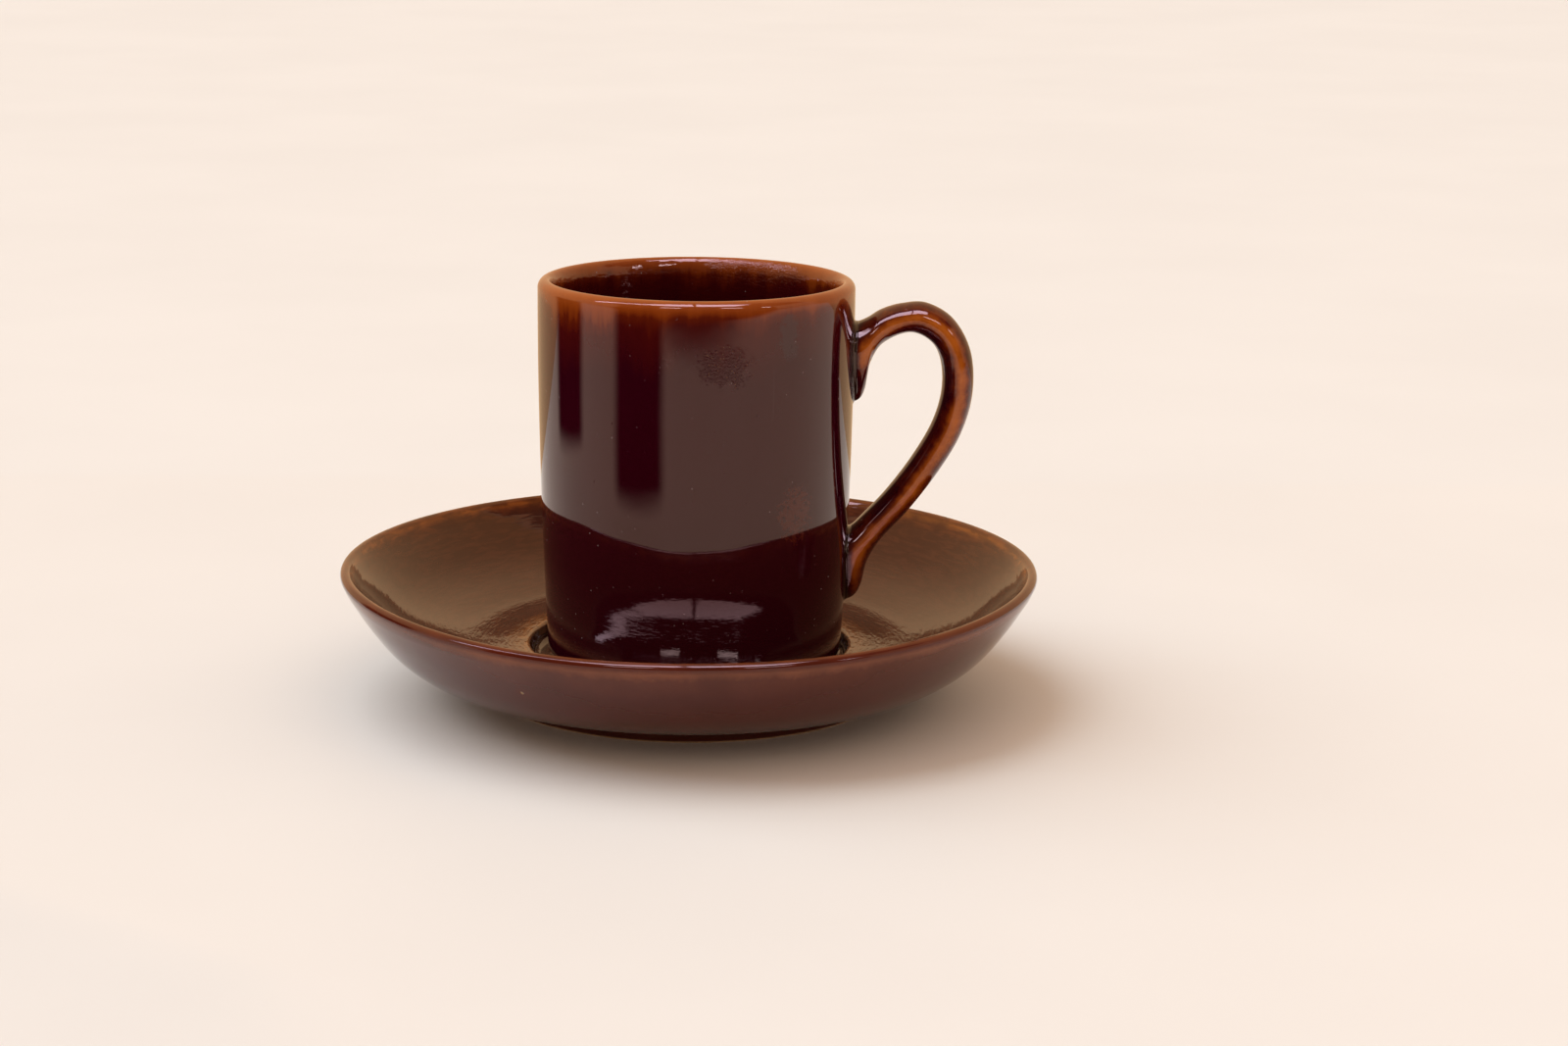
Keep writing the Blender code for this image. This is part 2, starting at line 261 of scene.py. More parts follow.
def turned(name, profile, segments, axis_x, wobble, bend=None):
    """A closed solid turned from a profile that starts and ends on the axis.

    wobble(angle, x, z) moves each ring's points out by a hair, and bend(points) then moves the whole surface.
    """
    angles = np.linspace(0.0, 2 * math.pi, segments, endpoint=False)
    rings = profile[1:-1]
    x = rings[:, 0][:, None] + wobble(angles[None, :], rings[:, 0][:, None], rings[:, 1][:, None])
    z = np.repeat(rings[:, 1][:, None], segments, axis=1)
    grid = np.stack([x * np.cos(angles) + axis_x, x * np.sin(angles), z], axis=-1).reshape(-1, 3)
    first = (axis_x, 0.0, profile[0][1])
    last = (axis_x, 0.0, profile[-1][1])
    verts = np.vstack([grid, [first, last]])
    if bend:
        verts = bend(verts)
    top, bottom = len(grid), len(grid) + 1
    end = (len(rings) - 1) * segments
    faces = []
    for j in range(segments):
        k = (j + 1) % segments
        faces.append((top, j, k))
        faces.append((bottom, end + k, end + j))
    for i in range(len(rings) - 1):
        a, b = i * segments, (i + 1) * segments
        for j in range(segments):
            k = (j + 1) % segments
            faces.append((a + j, b + j, b + k, a + k))
    return new_object(name, verts, faces)


def saucer_wobble(angle, x, z):
    """The rim of a fired saucer is never quite round or level."""
    return 0.10 * MM * (x / SAUCER_RIM_RADIUS) ** 3 * np.sin(2 * angle + 0.6)


def rim_drop(x, y):
    """How far the saucer's rim hangs below its level height at the angle of a point."""
    from_front = np.degrees(np.abs(np.arctan2(x, -y)))
    return RIM_SAG * step(RIM_SAG_FROM, RIM_SAG_TO, from_front)


def sag_share(radius):
    """How much of the rim's drop the dish follows at a radius, from 0 near the well to 1 at the rim."""
    return step(SAG_START_RADIUS, SAUCER_RIM_RADIUS, radius)


def sag_rim(points):
    """The outer part of the dish follows the rim down."""
    share = sag_share(np.hypot(points[:, 0], points[:, 1]))
    points[:, 2] -= rim_drop(points[:, 0], points[:, 1]) * share
    return points


def nearness(points):
    """0 at the back of the cup and 1 at its front."""
    return (1 - points[:, 1] / CUP_RADIUS) / 2


def lean_lip(points):
    """The rim was trimmed a little off level, so the lip stands higher at the front."""
    height = (points[:, 2] - CUP_BASE) / (CUP_TOP - CUP_BASE)
    points[:, 2] += CUP_LIP_LEAN * nearness(points) * np.clip(height * 2 - 1, 0, 1) ** 2
    return points


def cup_wobble(angle, x, z):
    """Faint turning unevenness, which bends the reflections in the wall."""
    height = (z - CUP_BASE) / (CUP_TOP - CUP_BASE)
    slow = np.sin(3 * angle + 5 * height) + 0.6 * np.sin(5 * angle - 9 * height)
    return 0.03 * MM * slow * np.sin(math.pi * np.clip(height, 0, 1))


def handle_surface():
    """Points of the whole strap as an array of rings, sides and coordinates."""
    rows = smooth(HANDLE_STATIONS, RINGS_PER_STATION)
    angles = np.linspace(0.0, 2 * math.pi, HANDLE_SIDES, endpoint=False)
    outer, inner = rows[:, 0:2], rows[:, 2:4]
    middle, half = (outer + inner) / 2, (inner - outer) / 2
    along = np.cos(angles)[None, :]
    across = np.sin(angles)[None, :] * (1 - rows[:, 5][:, None] * along)
    x = middle[:, 0:1] + half[:, 0:1] * along
    z = middle[:, 1:2] + half[:, 1:2] * along
    y = rows[:, 4][:, None] * across
    return np.stack([x, y, z], axis=-1) * MM


def wall_distance(points):
    """How far points, measured from the cup's axis, stand outside its wall."""
    return np.hypot(points[..., 0], points[..., 1]) - cup_radius(points[..., 2])


def crossing(line):
    """Where a line of points first leaves the wall: its index and the point itself."""
    gap = wall_distance(line)
    i = int(np.argmax(gap > 0))
    t = gap[i - 1] / (gap[i - 1] - gap[i])
    return i - 1 + t, line[i - 1] * (1 - t) + line[i] * t


def walk(line, start, distance):
    """The point at a distance along a line of points from a fractional index."""
    i = int(start)
    here = line[i] * (1 - (start - i)) + line[i + 1] * (start - i)
    left = distance
    for following in line[i + 1:]:
        stride = np.linalg.norm(following - here)
        if stride >= left:
            return here + (following - here) * left / stride
        left -= stride
        here = following
    return here


def on_wall(arc_length, z):
    """A point on the cup's wall from the distance round it and the height."""
    radius = cup_radius(z)
    angle = arc_length / CUP_RADIUS
    return np.stack([radius * np.cos(angle), radius * np.sin(angle), z], axis=-1)


def joint_rows(surface):
    """Where each of one joint's lines leaves the wall, a point out along the handle and one on the wall."""
    feet, on_handle = [], []
    for side in range(HANDLE_SIDES):
        start, point = crossing(surface[:, side])
        feet.append(point)
        on_handle.append(walk(surface[:, side], start, FILLET_ON_HANDLE))
    feet, on_handle = np.array(feet), np.array(on_handle)
    flat = np.stack([np.arctan2(feet[:, 1], feet[:, 0]) * CUP_RADIUS, feet[:, 2]], axis=-1)
    tangent = np.roll(flat, -1, axis=0) - np.roll(flat, 1, axis=0)
    normal = np.stack([tangent[:, 1], -tangent[:, 0]], axis=-1)
    normal /= np.linalg.norm(normal, axis=1)[:, None]
    if ((flat - flat.mean(axis=0)) * normal).sum() < 0:
        normal = -normal
    spread = flat + normal * FILLET_ON_WALL
    return feet, on_handle, on_wall(spread[:, 0], spread[:, 1])


def make_handle(surface):
    """The strap as one closed body, whose ends are buried in the cup's wall."""
    rings = len(surface)
    verts = surface.reshape(-1, 3) + np.array([CUP_X, 0.0, 0.0])
    faces = [tuple(range(HANDLE_SIDES))[::-1], tuple(range((rings - 1) * HANDLE_SIDES, rings * HANDLE_SIDES))]
    for i in range(rings - 1):
        a, b = i * HANDLE_SIDES, (i + 1) * HANDLE_SIDES
        for j in range(HANDLE_SIDES):
            k = (j + 1) % HANDLE_SIDES
            faces.append((a + j, a + k, b + k, b + j))
    return new_object("handle_glazed", verts, faces)


def make_fillet(name, surface):
    """The ring of slip and pooled glaze that fills the corner between the handle's end and the wall."""
    feet, on_handle, on_cup = joint_rows(surface)
    middle = feet.mean(axis=0)
    inward = Vector((-middle[0], -middle[1], 0.0)).normalized()
    buried = feet + np.array(inward) * FILLET_BURIED
    columns = []
    for t in np.linspace(0.0, 1.0, FILLET_STEPS):
        bend = on_handle * (1 - t) ** 2 + feet * 2 * t * (1 - t) + on_cup * t ** 2
        columns.append(bend)
    columns.append(buried)
    count = len(columns)
    verts = np.stack(columns, axis=1).reshape(-1, 3) + np.array([CUP_X, 0.0, 0.0])
    faces = []
    for i in range(HANDLE_SIDES):
        a, b = i * count, ((i + 1) % HANDLE_SIDES) * count
        for j in range(count):
            k = (j + 1) % count
            faces.append((a + j, a + k, b + k, b + j))
    obj = new_object(name, verts, faces)
    face_outward(obj)
    return obj


def face_outward(obj):
    """Turns every face of a closed mesh to the outside."""
    shape = bmesh.new()
    shape.from_mesh(obj.data)
    bmesh.ops.recalc_face_normals(shape, faces=shape.faces)
    shape.to_mesh(obj.data)
    shape.free()


# ================================================================ materials
class Nodes:
    """A short way to write a material's node tree. Lengths in it are millimetres."""

    def __init__(self, name):
        self.material = bpy.data.materials.new(name)
        self.material.use_nodes = True
        self.tree = self.material.node_tree
        self.shader = self.tree.nodes["Principled BSDF"]

    def add(self, kind, inputs=None, **settings):
        node = self.tree.nodes.new(kind)
        for key, value in settings.items():
            setattr(node, key, value)
        for key, value in (inputs or {}).items():
            if isinstance(value, bpy.types.NodeSocket):
                self.tree.links.new(value, node.inputs[key])
            else:
                node.inputs[key].default_value = value
        return node

    def math(self, operation, a, b=0.0, clamp=False):
        return self.add("ShaderNodeMath", {0: a, 1: b}, operation=operation, use_clamp=clamp).outputs[0]

    def total(self, *values):
        result = values[0]
        for value in values[1:]:
            result = self.math("ADD", result, value)
        return result

    def times(self, *values):
        result = values[0]
        for value in values[1:]:
            result = self.math("MULTIPLY", result, value)
        return result

    def length(self, u, v):
        return self.math("SQRT", self.total(self.times(u, u), self.times(v, v)))

    def vector(self, operation, a, b=(0.0, 0.0, 0.0)):
        return self.add("ShaderNodeVectorMath", {0: a, 1: b}, operation=operation).outputs[0]

    def split(self, vector):
        return self.add("ShaderNodeSeparateXYZ", {0: vector}).outputs

    def noise(self, vector, size, detail=2.0, roughness=0.5, distortion=0.0):
        """Noise from 0 to 1, with blotches about size apart."""
        inputs = {"Vector": vector, "Scale": 1.0 / size, "Detail": detail, "Roughness": roughness}
        inputs["Distortion"] = distortion
        return self.add("ShaderNodeTexNoise", inputs).outputs["Fac"]

    def ramp(self, value, stops):
        node = self.add("ShaderNodeValToRGB", {"Fac": value})
        elements = node.color_ramp.elements
        while len(elements) < len(stops):
            elements.new(0.5)
        for element, (place, colour) in zip(elements, stops):
            element.position = place
            element.color = (*colour, 1.0)
        return node.outputs["Color"]

    def span(self, value, low, high, to_low=0.0, to_high=1.0):
        inputs = {"Value": value, "From Min": low, "From Max": high, "To Min": to_low, "To Max": to_high}
        return self.add("ShaderNodeMapRange", inputs, interpolation_type="SMOOTHSTEP").outputs[0]

    def swing(self, noise, amount):
        """Noise stretched to run from -amount to amount."""
        return self.span(noise, 0.3, 0.7, -amount, amount)

    def blend(self, factor, a, b):
        """Colour a where the factor is 0 and colour b where it is 1."""
        node = self.add("ShaderNodeMix", data_type="RGBA")
        for index, value in ((0, factor), (6, a), (7, b)):
            if isinstance(value, bpy.types.NodeSocket):
                self.tree.links.new(value, node.inputs[index])
            elif index:
                node.inputs[index].default_value = (*value, 1.0)
            else:
                node.inputs[index].default_value = value
        return node.outputs[2]

    def place(self):
        """Where a point is, in millimetres."""
        metres = self.add("ShaderNodeTexCoord").outputs["Object"]
        return self.vector("DIVIDE", metres, (MM, MM, MM))

    def attribute(self, name):
        return self.add("ShaderNodeAttribute", attribute_name=name).outputs["Fac"]

    def bump(self, height, distance, normal=None, strength=1.0):
        """The normal over a height from 0 to 1, where 1 stands up by the distance."""
        inputs = {"Height": height, "Strength": strength, "Distance": distance * MM}
        if normal is not None:
            inputs["Normal"] = normal
        return self.add("ShaderNodeBump", inputs).outputs["Normal"]

    def specks(self, place, spacing, size, share):
        """Small round spots, one in every cell of the spacing, with only a share of the cells filled."""
        node = self.add("ShaderNodeTexVoronoi", {"Vector": place, "Scale": 1.0 / spacing})
        spot = self.span(node.outputs["Distance"], size / spacing * 0.5, size / spacing, 1.0, 0.0)
        chosen = self.math("LESS_THAN", self.split(node.outputs["Color"])[0], share)
        return self.times(spot, chosen)

    def finish(self, colour, roughness, normal, ior=1.5, tint=(1.0, 1.0, 1.0)):
        links = self.tree.links
        links.new(colour, self.shader.inputs["Base Color"])
        if isinstance(roughness, bpy.types.NodeSocket):
            links.new(roughness, self.shader.inputs["Roughness"])
        else:
            self.shader.inputs["Roughness"].default_value = roughness
        links.new(normal, self.shader.inputs["Normal"])
        self.shader.inputs["IOR"].default_value = ior
        self.shader.inputs["Specular Tint"].default_value = (*tint, 1.0)
        return self.material


GLAZE_TINT = (1.0, 0.72, 0.58)
RING_SPACING = 0.70
BARE_CLAY = (0.50, 0.34, 0.20)

# Colours of the treacle glaze, from the thinnest skin over an edge to a deep pool
AMBER = (0.34, 0.075, 0.012)
TOFFEE = (0.21, 0.036, 0.004)
RUSSET = (0.095, 0.0095, 0.0022)
MAROON = (0.052, 0.0028, 0.0030)
TREACLE = (0.0270, 0.0006, 0.0048)
# On the handle the thin glaze is yellower
HONEY = (0.42, 0.105, 0.010)
HONEY_DARK = (0.24, 0.046, 0.003)

# Colours by depth below the lip, as a share of a full depth in millimetres, and on the handle by thinness
CUP_GLAZE_DEPTH = 20.0
CUP_GLAZE = ((0.0, AMBER), (0.11, TOFFEE), (0.17, RUSSET), (0.28, MAROON), (0.70, TREACLE))
HANDLE_GLAZE = ((0.0, TREACLE), (0.17, MAROON), (0.33, RUSSET), (0.56, HONEY_DARK), (0.9, HONEY))
SAUCER_GLAZE_DEPTH = 8.0
SAUCER_INSIDE = ((0.0, (0.18, 0.042, 0.011)), (0.10, (0.34, 0.095, 0.016)), (0.22, (0.15, 0.036, 0.010)),
                 (0.40, (0.090, 0.022, 0.0085)), (1.0, (0.072, 0.0175, 0.0090)))
# On the outside, the darker stop about 1.2 mm below the lip is partly glaze pooled under the bead and partly a
# painted reflection of the dark room beyond the table
SAUCER_OUTSIDE = ((0.0, (0.13, 0.025, 0.009)), (0.15, (0.070, 0.008, 0.004)), (0.26, (0.17, 0.050, 0.022)),
                  (0.42, (0.088, 0.020, 0.011)), (1.0, (0.060, 0.0105, 0.0068)))
# Blotches and marks
SAUCER_BLOTCH_INSIDE = (0.055, 0.0115, 0.0055)
SAUCER_BLOTCH_OUTSIDE = (0.050, 0.0080, 0.0042)
SAUCER_GROOVE = (0.030, 0.0075, 0.0045)
WELL_EDGE_AMBER = (0.26, 0.080, 0.016)
STAIN = (0.075, 0.010, 0.003)
PINHOLE = (0.30, 0.20, 0.10)
SAUCER_DUST = (0.22, 0.13, 0.07)
CUP_DUST = (0.30, 0.27, 0.28)
GRIT = (0.16, 0.09, 0.045)
SCUFFED = (0.030, 0.024, 0.030)
RUST = (0.085, 0.014, 0.008)


def round_wall(n, place, axis_x=0.0):
    """Distance round from the front towards the handle at the cup's radius, and height; millimetres."""
    x, y, z = n.split(place)[0:3]
    angle = n.math("ARCTAN2", n.math("SUBTRACT", x, axis_x / MM), n.times(y, -1.0))
    return n.times(angle, CUP_RADIUS / MM), z


def patch(n, around, height, mark, ragged):
    """A soft oval mark on the wall: 1 at its middle, 0 outside."""
    middle, level, half_width, half_height = mark
    u = n.math("DIVIDE", n.math("SUBTRACT", around, middle), half_width)
    v = n.math("DIVIDE", n.math("SUBTRACT", height, level), half_height)
    square = n.total(n.times(u, u), n.times(v, v), ragged)
    return n.span(square, 0.5, 1.3, 1.0, 0.0)


def drip(n, around, height):
    """A thin raised run of glaze with a round end, fading out upwards."""
    middle, end, half_width, length = DRIP
    u = n.math("DIVIDE", n.math("SUBTRACT", around, middle), half_width)
    below = n.math("MINIMUM", n.math("SUBTRACT", height, end), 0.0)
    v = n.math("DIVIDE", below, half_width)
    body = n.span(n.length(u, v), 0.72, 1.0, 1.0, 0.0)
    return n.times(body, n.span(height, end + length * 0.5, end + length, 1.0, 0.0))


def cup_depth(n, place):
    """Depth of the glaze below the lip, where runs of different lengths hang down from it."""
    runs = n.noise(n.vector("MULTIPLY", place, (1.0, 1.0, 0.16)), 3.4, 3.0, 0.6)
    broad = n.noise(n.vector("MULTIPLY", place, (1.0, 1.0, 0.3)), 9.0, 1.0)
    depth = n.attribute("lip_depth")
    hang = n.times(n.total(n.swing(runs, 1.1), n.swing(broad, 0.9)), n.span(depth, 1.0, 7.0, 0.25, 1.5))
    return n.math("ADD", depth, hang)


def cup_material():
    n = Nodes("cup_glaze")
    place = n.place()
    around, height = round_wall(n, place, CUP_X)
    glaze = n.ramp(n.math("DIVIDE", cup_depth(n, place), CUP_GLAZE_DEPTH, True), CUP_GLAZE)
    ragged = n.swing(n.noise(place, 1.6, 3.0, 0.7), 0.6)
    smudge = patch(n, around, height, SMUDGE, ragged)
    scuff = patch(n, around, height, SCUFF, ragged)
    smear = patch(n, around, height, RUST_SMEAR, n.span(n.noise(place, 1.1, 3.0, 0.7), 0.3, 0.7, -0.9, 1.2))
    gritty = n.times(smudge, n.specks(place, 0.55, 0.16, 0.5))
    dusty = n.span(n.noise(place, 15.0, 2.0), 0.42, 0.6)
    dust = n.times(n.specks(place, 1.5, 0.17, 0.35), dusty, 0.7)
    bare = n.attribute("bare")
    for share, mark in ((n.times(scuff, 0.45), SCUFFED), (n.times(smear, 0.6), RUST),
                        (n.times(gritty, 0.5), GRIT), (dust, CUP_DUST), (bare, BARE_CLAY)):
        glaze = n.blend(share, glaze, mark)
    waves = n.bump(n.noise(place, 16.0, 1.0), 0.055)
    small_waves = n.bump(n.noise(place, 5.0, 1.0), 0.006, waves)
    comb = n.noise(n.vector("MULTIPLY", place, (1.0, 1.0, 3.0)), 2.6, 2.0)
    combed = n.bump(comb, 0.09, small_waves, n.attribute("inner"))
    crazed = n.bump(n.noise(place, 0.45, 2.0, 0.6), 0.12, combed, n.attribute("crazed"))
    run = n.bump(drip(n, around, height), 0.05, crazed)
    wear = n.math("MAXIMUM", smudge, n.times(scuff, 0.5))
    worn = n.bump(n.noise(place, 0.5, 3.0, 0.7), 0.05, run, wear)
    pinholes = n.bump(n.specks(place, 3.1, 0.22, 0.4), -0.05, worn)
    roughness = n.span(bare, 0.0, 1.0, 0.035, 0.75)
    return n.finish(glaze, roughness, pinholes, 1.60, GLAZE_TINT)


def handle_material():
    n = Nodes("handle_glaze")
    place = n.place()
    runs = n.noise(place, 1.7, 3.0, 0.6)
    broad = n.noise(place, 6.0, 1.0)
    thin = n.total(n.attribute("thin"), n.swing(runs, 0.09), n.swing(broad, 0.10))
    waves = n.bump(n.noise(place, 5.0, 1.0), 0.03)
    skin = n.bump(n.noise(place, 1.3, 2.0), 0.004, waves)
    pinholes = n.bump(n.specks(place, 1.6, 0.2, 0.35), -0.04, skin)
    return n.finish(n.ramp(thin, HANDLE_GLAZE), 0.045, pinholes, 1.60, GLAZE_TINT)


def saucer_depths(n, place, fine, outside):
    """The saucer's colours from the lip down the inside and down the outside, with soft blotches."""
    mottle = n.noise(place, 7.0, 3.0, 0.6)
    below = n.attribute("lip_depth")
    ragged = n.times(n.total(n.swing(mottle, 0.9), n.swing(fine, 0.6)), n.span(below, 1.2, 4.5, 0.08, 0.5))
    level = n.math("DIVIDE", n.math("ADD", below, ragged), SAUCER_GLAZE_DEPTH, True)
    patchy = n.span(mottle, 0.35, 0.65, 0.0, 0.35)
    inner = n.blend(patchy, n.ramp(level, SAUCER_INSIDE), SAUCER_BLOTCH_INSIDE)
    cloudy = n.span(n.noise(place, 14.0, 2.0), 0.4, 0.65, 0.0, 0.5)
    outer = n.blend(cloudy, n.ramp(level, SAUCER_OUTSIDE), SAUCER_BLOTCH_OUTSIDE)
    return n.blend(outside, inner, outer)


def turning_rings(n, place):
    """Noise drawn out round the saucer's axis, like the marks of a turning tool."""
    flat = n.vector("MULTIPLY", place, (1.0, 1.0, 0.0))
    out = n.add("ShaderNodeVectorMath", {0: flat}, operation="LENGTH").outputs["Value"]
    towards = n.vector("MULTIPLY", n.vector("NORMALIZE", flat), (13.0, 13.0, 0.0))
    rings = n.add("ShaderNodeCombineXYZ", {2: n.math("DIVIDE", out, RING_SPACING)}).outputs[0]
    return n.noise(n.vector("ADD", towards, rings), 1.0, 2.0, 0.45, 0.6)


def stain_marks(n, around, height):
    """Reddish stains on the saucer's outside, and the pinhole in the middle of some."""
    stains, holes = [], []
    for degrees, level, half_width, half_height, tilt, hole in STAINS:
        middle = math.radians(degrees) * CUP_RADIUS / MM
        along = n.times(n.math("SUBTRACT", around, middle), SAUCER_MID_RADIUS / CUP_RADIUS)
        up = n.math("SUBTRACT", height, level)
        lean = n.math("SUBTRACT", up, n.times(along, math.tan(math.radians(tilt))))
        reach = n.length(n.math("DIVIDE", along, half_width), n.math("DIVIDE", lean, half_height))
        stains.append(n.span(reach, 0.35, 1.0, 1.0, 0.0))
        holes.append(n.span(n.length(along, up), 0.15, 0.42, hole, 0.0))
    return n.total(*stains), n.total(*holes)


def saucer_material():
    n = Nodes("saucer_glaze")
    place = n.place()
    around, height = round_wall(n, place)
    outside = n.attribute("outside")
    fine = n.noise(place, 1.1, 3.0, 0.6)
    ripple = turning_rings(n, place)
    stain, hole = stain_marks(n, around, height)
    glaze = saucer_depths(n, place, fine, outside)
    well = n.times(n.attribute("well"), n.span(fine, 0.25, 0.6, 0.5, 1.0))
    dust = n.times(n.specks(place, 2.2, 0.16, 0.12), 0.4)
    grain = n.times(n.span(ripple, 0.42, 0.62, 0.45, 0.0), n.math("SUBTRACT", 1.0, outside))
    stained, pit, bare = n.times(stain, outside, 0.75), n.times(hole, outside), n.attribute("bare")
    for share, mark in ((well, WELL_EDGE_AMBER), (dust, SAUCER_DUST), (stained, STAIN), (pit, PINHOLE),
                        (grain, SAUCER_GROOVE), (bare, BARE_CLAY)):
        glaze = n.blend(share, glaze, mark)
    ripples = n.bump(ripple, 0.034, None, n.span(outside, 0.0, 1.0, 1.0, 0.12))
    waves = n.bump(n.noise(place, 11.0, 1.0), 0.05, ripples)
    pitted = n.bump(pit, -0.15, waves)
    roughness = n.span(bare, 0.0, 1.0, 0.07, 0.75)
    return n.finish(glaze, roughness, pitted, 1.52, GLAZE_TINT)


def slip_material():
    n = Nodes("slip_glaze")
    place = n.place()
    colour = n.ramp(n.noise(place, 1.1, 2.0), ((0.3, (0.006, 0.0018, 0.0022)), (0.8, (0.028, 0.010, 0.006))))
    skin = n.bump(n.noise(place, 0.7, 2.0), 0.05)
    return n.finish(colour, 0.06, skin, 1.60, GLAZE_TINT)


# ================================================================ where the glaze lies thin, and bare clay
def vertices(obj):
    values = np.empty(len(obj.data.vertices) * 3, dtype=np.float32)
    obj.data.vertices.foreach_get("co", values)
    return values.reshape(-1, 3).astype(float)


def lay_glaze_on_cup(obj):
    """Depth below the lip in millimetres, counted faster inside, which surface is inside near the lip, the
    crackled patch, and the bare ring that the cup stands on."""
    points = vertices(obj)
    z = points[:, 2]
    radius = np.hypot(points[:, 0] - CUP_X, points[:, 1])
    below = np.clip(CUP_TOP + CUP_LIP_LEAN * nearness(points) - z, 0.0, None) / MM
    middle = cup_radius(z) - CUP_WALL / 2
    inside = step(0.6 * MM, -0.6 * MM, radius - middle)
    add_attribute(obj, "lip_depth", below * (1 + 0.1 * inside))
    add_attribute(obj, "inner", inside * step(12.0, 6.0, below))
    across, back = (points[:, 0] - CUP_X) / MM, points[:, 1] / MM
    left_in, left_out, right_in, right_out = CRAZED_ACROSS
    sideways = step(left_in, left_out, across) * step(right_out, right_in, across)
    crazed = sideways * step(*CRAZED_BACK, back) * step(*CRAZED_DEPTH[::-1], below)
    add_attribute(obj, "crazed", crazed * inside)
    corner = CUP_RADIUS - CUP_TAPER - CUP_BASE_CORNER
    in_ring = (radius > corner - CUP_STAND_WIDTH - 0.1 * MM) & (radius < corner + 0.6 * MM)
    add_attribute(obj, "bare", ((z < CUP_BASE + 0.05 * MM) & in_ring).astype(float))


def lay_glaze_on_saucer(obj):
    """Depth below the lip in millimetres, which surface is the outside, the well's edge and the bare foot."""
    points = vertices(obj)
    radius = np.hypot(points[:, 0], points[:, 1])
    sag = rim_drop(points[:, 0], points[:, 1])
    below = np.clip(SAUCER_HEIGHT - sag - points[:, 2], 0.0, None) / MM
    z = points[:, 2] + sag * sag_share(radius)
    outline = smooth(UNDERSIDE_OUTLINE, 8) * MM
    order = np.argsort(outline[:, 0])
    underside = np.interp(radius, outline[order, 0], outline[order, 1])
    outside = (z < underside + 0.4 * MM) | (radius > SAUCER_RIM_RADIUS - SAUCER_LIP_RADIUS * 0.8)
    edge = np.exp(-((radius - WELL_WALL_RADIUS - 0.6 * MM) / (1.0 * MM)) ** 2)
    add_attribute(obj, "lip_depth", below)
    add_attribute(obj, "outside", outside.astype(float))
    add_attribute(obj, "well", edge * (z > WELL_EDGE_HEIGHT - 2.0 * MM))
    add_attribute(obj, "bare", ((z < 0.4 * MM) & (radius < FOOT_OUTER_RADIUS + MM)).astype(float))


def lay_glaze_on_handle(obj, surface):
    """Thin along the crest of both sides and over the ends, thick in the creases and on the flat faces."""
    angles = np.linspace(0.0, 2 * math.pi, HANDLE_SIDES, endpoint=False)
    from_inner = np.degrees(np.arccos(np.cos(angles)))
    crest = np.exp(-((from_inner - CREST_ANGLE) / CREST_SPREAD) ** 2)
    outer = step(95.0, 140.0, from_inner)
    out = np.clip(wall_distance(surface), 0.0, None)
    ends = 1 - step(4 * MM, 11 * MM, out)
    crease = step(0.5 * MM, 2.0 * MM, out)
    section = 0.05 + 0.78 * crest + 0.12 * outer * (1 - crest)
    thin = (section[None, :] + 0.04 * ends) * crease
    add_attribute(obj, "thin", thin.reshape(len(surface) * HANDLE_SIDES))


# ================================================================ the pieces
def build_pieces():
    saucer = turned("saucer_glazed", saucer_profile(), SAUCER_SEGMENTS, 0.0, saucer_wobble, sag_rim)
    lay_glaze_on_saucer(saucer)
    saucer.data.materials.append(saucer_material())
    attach(saucer, "saucer")
    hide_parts("saucer")

    cup = turned("cup_body_glazed", cup_profile(), CUP_SEGMENTS, CUP_X, cup_wobble, lean_lip)
    lay_glaze_on_cup(cup)
    cup.data.materials.append(cup_material())
    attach(cup, "cup")
    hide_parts("cup_body")

    surface = handle_surface()
    handle = make_handle(surface)
    face_outward(handle)
    lay_glaze_on_handle(handle, surface)
    handle.data.materials.append(handle_material())
    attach(handle, "cup")
    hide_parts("handle")

    slip = slip_material()
    for name, node, rows in (("upper_joint_fillet", "upper_handle_slip", surface),
                             ("lower_joint_fillet", "lower_handle_slip", surface[::-1])):
        fillet = make_fillet(name, rows)
        fillet.data.materials.append(slip)
        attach(fillet, "cup")
        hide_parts(node)


# ================================================================ studio
CAMERA_PLACE = (0.000864, -0.712141, 0.20233)
CAMERA_PITCH = 13.302
CAMERA_YAW = 1.440
CAMERA_ROLL = 0.693
FOCAL_LENGTH = 84.2625

# The room that the glaze mirrors; metres
FLOOR_HALF = 6.0
TABLE_FRONT = -0.335
TABLE_EDGE_FADE = 0.042
BEYOND_HALF_WIDTH = 3.0
ABOVE_TABLE = 0.003
WALL_BEHIND = 0.19
WALL_HALF_WIDTH = 2.0
WALL_HEIGHT = 1.4
ROOM_FRONT = -3.0
ROOM_HALF_WIDTH = 5.0
ROOM_HEIGHT = 3.2
CEILING = 3.0
# Windows in the front of the room: the left edge's x and the width
WINDOWS = ((-1.54, 0.92), (1.00, 1.03), (3.4, 1.0))
WINDOW_LOW, WINDOW_HIGH = 1.78, 2.24
WINDOW_STANDS_IN = 0.1
# The skylight: x, then the y of its front and back edges, at its two ends and where its panes meet
SKYLIGHT_HEIGHT = 2.1
SKYLIGHT_BAR = 0.06
SKYLIGHT = ((-3.60, -0.62, -0.15), (-2.00, -0.78, -0.33), (-1.50, -0.92, -0.48), (-1.12, -1.20, -0.60),
            (-0.03, -1.48, -0.25), (1.02, -1.26, -0.42))
# Dark things on the table: name, where they stand and how wide they are
DARK_THINGS = (("dark_thing_front", (-0.1035, -0.131), 0.124), ("dark_thing_left", (-0.221, 0.036), 0.138))
DARK_THING_HEIGHT = 0.10

